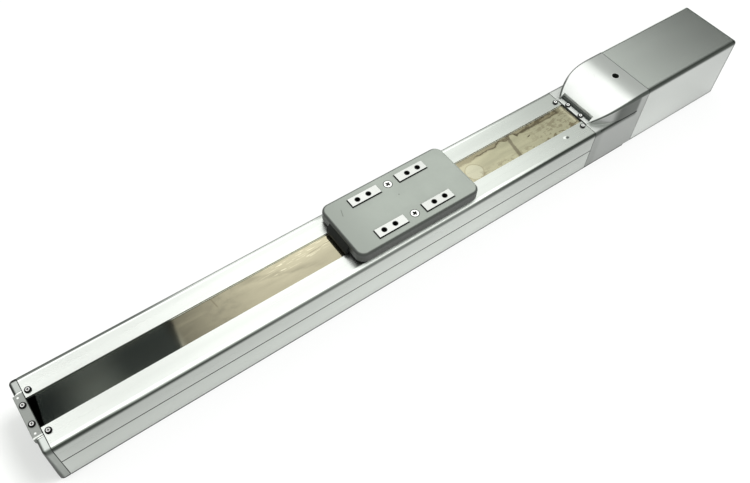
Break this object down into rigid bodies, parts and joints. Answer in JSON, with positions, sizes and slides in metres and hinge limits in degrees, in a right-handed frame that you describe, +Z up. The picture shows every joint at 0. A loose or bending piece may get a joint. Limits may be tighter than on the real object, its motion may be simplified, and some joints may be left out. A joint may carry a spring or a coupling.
{
  "type": "electric linear actuator",
  "caption": "Slider-type electric linear actuator: long aluminium body with a steel cover sheet, travelling slider with raised tapped pads, and an in-line servo motor under a flared end cover.",
  "frame": {"origin": "centre of the base extrusion's flat underside", "axes": "+X along the travel towards the motor, +Y to the left side, +Z up out of the slider's pads"},
  "size_m": [0.9945, 0.09, 0.0924],
  "materials": {
    "anodised_aluminium": "satin anodised",
    "cast_grey": "satin paint on a casting",
    "cover_grey": "satin paint",
    "stainless_sheet": "polished and stained",
    "bright_steel": "ground",
    "slider_grey": "fine satin moulding",
    "black_plastic": "moulded",
    "black_rubber": "matt",
    "bumper_rubber": "urethane",
    "spider_red": "urethane",
    "motor_black": "semi-gloss",
    "encoder_glass": "etched disc"
  },
  "bodies": {
    "base": {"base_extrusion": "anodised_aluminium", "side_cover_left": "anodised_aluminium", "side_cover_right": "anodised_aluminium", "magnet_strip_left": "black_rubber", "magnet_strip_right": "black_rubber", "cover_sheet": "stainless_sheet", "guide_rail_left": "bright_steel", "guide_rail_right": "bright_steel", "rail_screws": "bright_steel", "front_bearing_block": "anodised_aluminium", "front_bearing": "bright_steel", "rear_bearing_block": "anodised_aluminium", "rear_bearings": "bright_steel", "bearing_retainer": "anodised_aluminium", "tie_bolts": "bright_steel", "front_bumper": "bumper_rubber", "rear_bumper": "bumper_rubber", "front_end_cap": "cast_grey", "front_sheet_clamp": "cast_grey", "rear_sheet_clamp": "cast_grey", "pan_head_screws": "bright_steel", "motor_housing": "cast_grey", "ramp_seal": "black_rubber", "home_sensor": "black_plastic", "motor_flange": "motor_black", "motor_body": "motor_black", "motor_bolts": "bright_steel", "encoder_cover": "black_plastic", "motor_cover": "cover_grey", "motor_bottom_plate": "cover_grey", "rear_end_cap": "cover_grey", "small_screws": "bright_steel", "cable_gland": "black_plastic"},
    "slider": {"carriage": "anodised_aluminium", "guide_block_front_left": "bright_steel", "guide_block_front_right": "bright_steel", "guide_block_rear_left": "bright_steel", "guide_block_rear_right": "bright_steel", "ball_nut": "bright_steel", "nut_bolts": "bright_steel", "slider_table": "anodised_aluminium", "table_screws": "bright_steel", "slider_cover": "slider_grey", "slider_cover_screws": "bright_steel", "sheet_guide_front": "black_plastic", "sheet_guide_rear": "black_plastic", "roller_pins": "bright_steel", "sensor_dog": "bright_steel"},
    "screw_train": {"ball_screw": "bright_steel", "lock_nut": "bright_steel", "screw_hub": "anodised_aluminium", "coupling_spider": "spider_red", "motor_hub": "anodised_aluminium", "rotor_shaft": "bright_steel", "encoder_disc": "encoder_glass"},
    "front_hold_roller": {"hold_roller_front": "black_plastic"},
    "rear_hold_roller": {"hold_roller_rear": "black_plastic"},
    "front_lift_roller": {"lift_roller_front": "black_plastic"},
    "rear_lift_roller": {"lift_roller_rear": "black_plastic"}
  },
  "joints": [
    {"name": "slider_slide", "type": "slide", "parent": "base", "child": "slider", "axis": [1, 0, 0], "range_m": [-0.33, 0.17], "deforming": ["cover_sheet"]},
    {"name": "screw_spin", "type": "hinge", "parent": "base", "child": "screw_train", "pos_m": [0, 0, 0.042], "axis": [1, 0, 0], "range_deg": [-3827, 7427]},
    {"name": "front_hold_roller_spin", "type": "hinge", "parent": "slider", "child": "front_hold_roller", "pos_m": [0.0055, 0, 0.0684], "axis": [0, 1, 0], "range_deg": [-3439, 1772]},
    {"name": "front_lift_roller_spin", "type": "hinge", "parent": "slider", "child": "front_lift_roller", "pos_m": [0.024, 0, 0.0695], "axis": [0, 1, 0], "range_deg": [-2784, 5404]},
    {"name": "rear_hold_roller_spin", "type": "hinge", "parent": "slider", "child": "rear_hold_roller", "pos_m": [0.1565, 0, 0.0684], "axis": [0, 1, 0], "range_deg": [-3439, 1772]},
    {"name": "rear_lift_roller_spin", "type": "hinge", "parent": "slider", "child": "rear_lift_roller", "pos_m": [0.138, 0, 0.0695], "axis": [0, 1, 0], "range_deg": [-2784, 5404]}
  ],
  "couplings": [
    {"joint": "screw_spin", "follows": "slider_slide", "rad_per_m": -392.7},
    {"joint": "front_hold_roller_spin", "follows": "slider_slide", "rad_per_m": 181.82},
    {"joint": "front_lift_roller_spin", "follows": "slider_slide", "rad_per_m": -285.71},
    {"joint": "rear_hold_roller_spin", "follows": "slider_slide", "rad_per_m": 181.82},
    {"joint": "rear_lift_roller_spin", "follows": "slider_slide", "rad_per_m": -285.71}
  ]
}
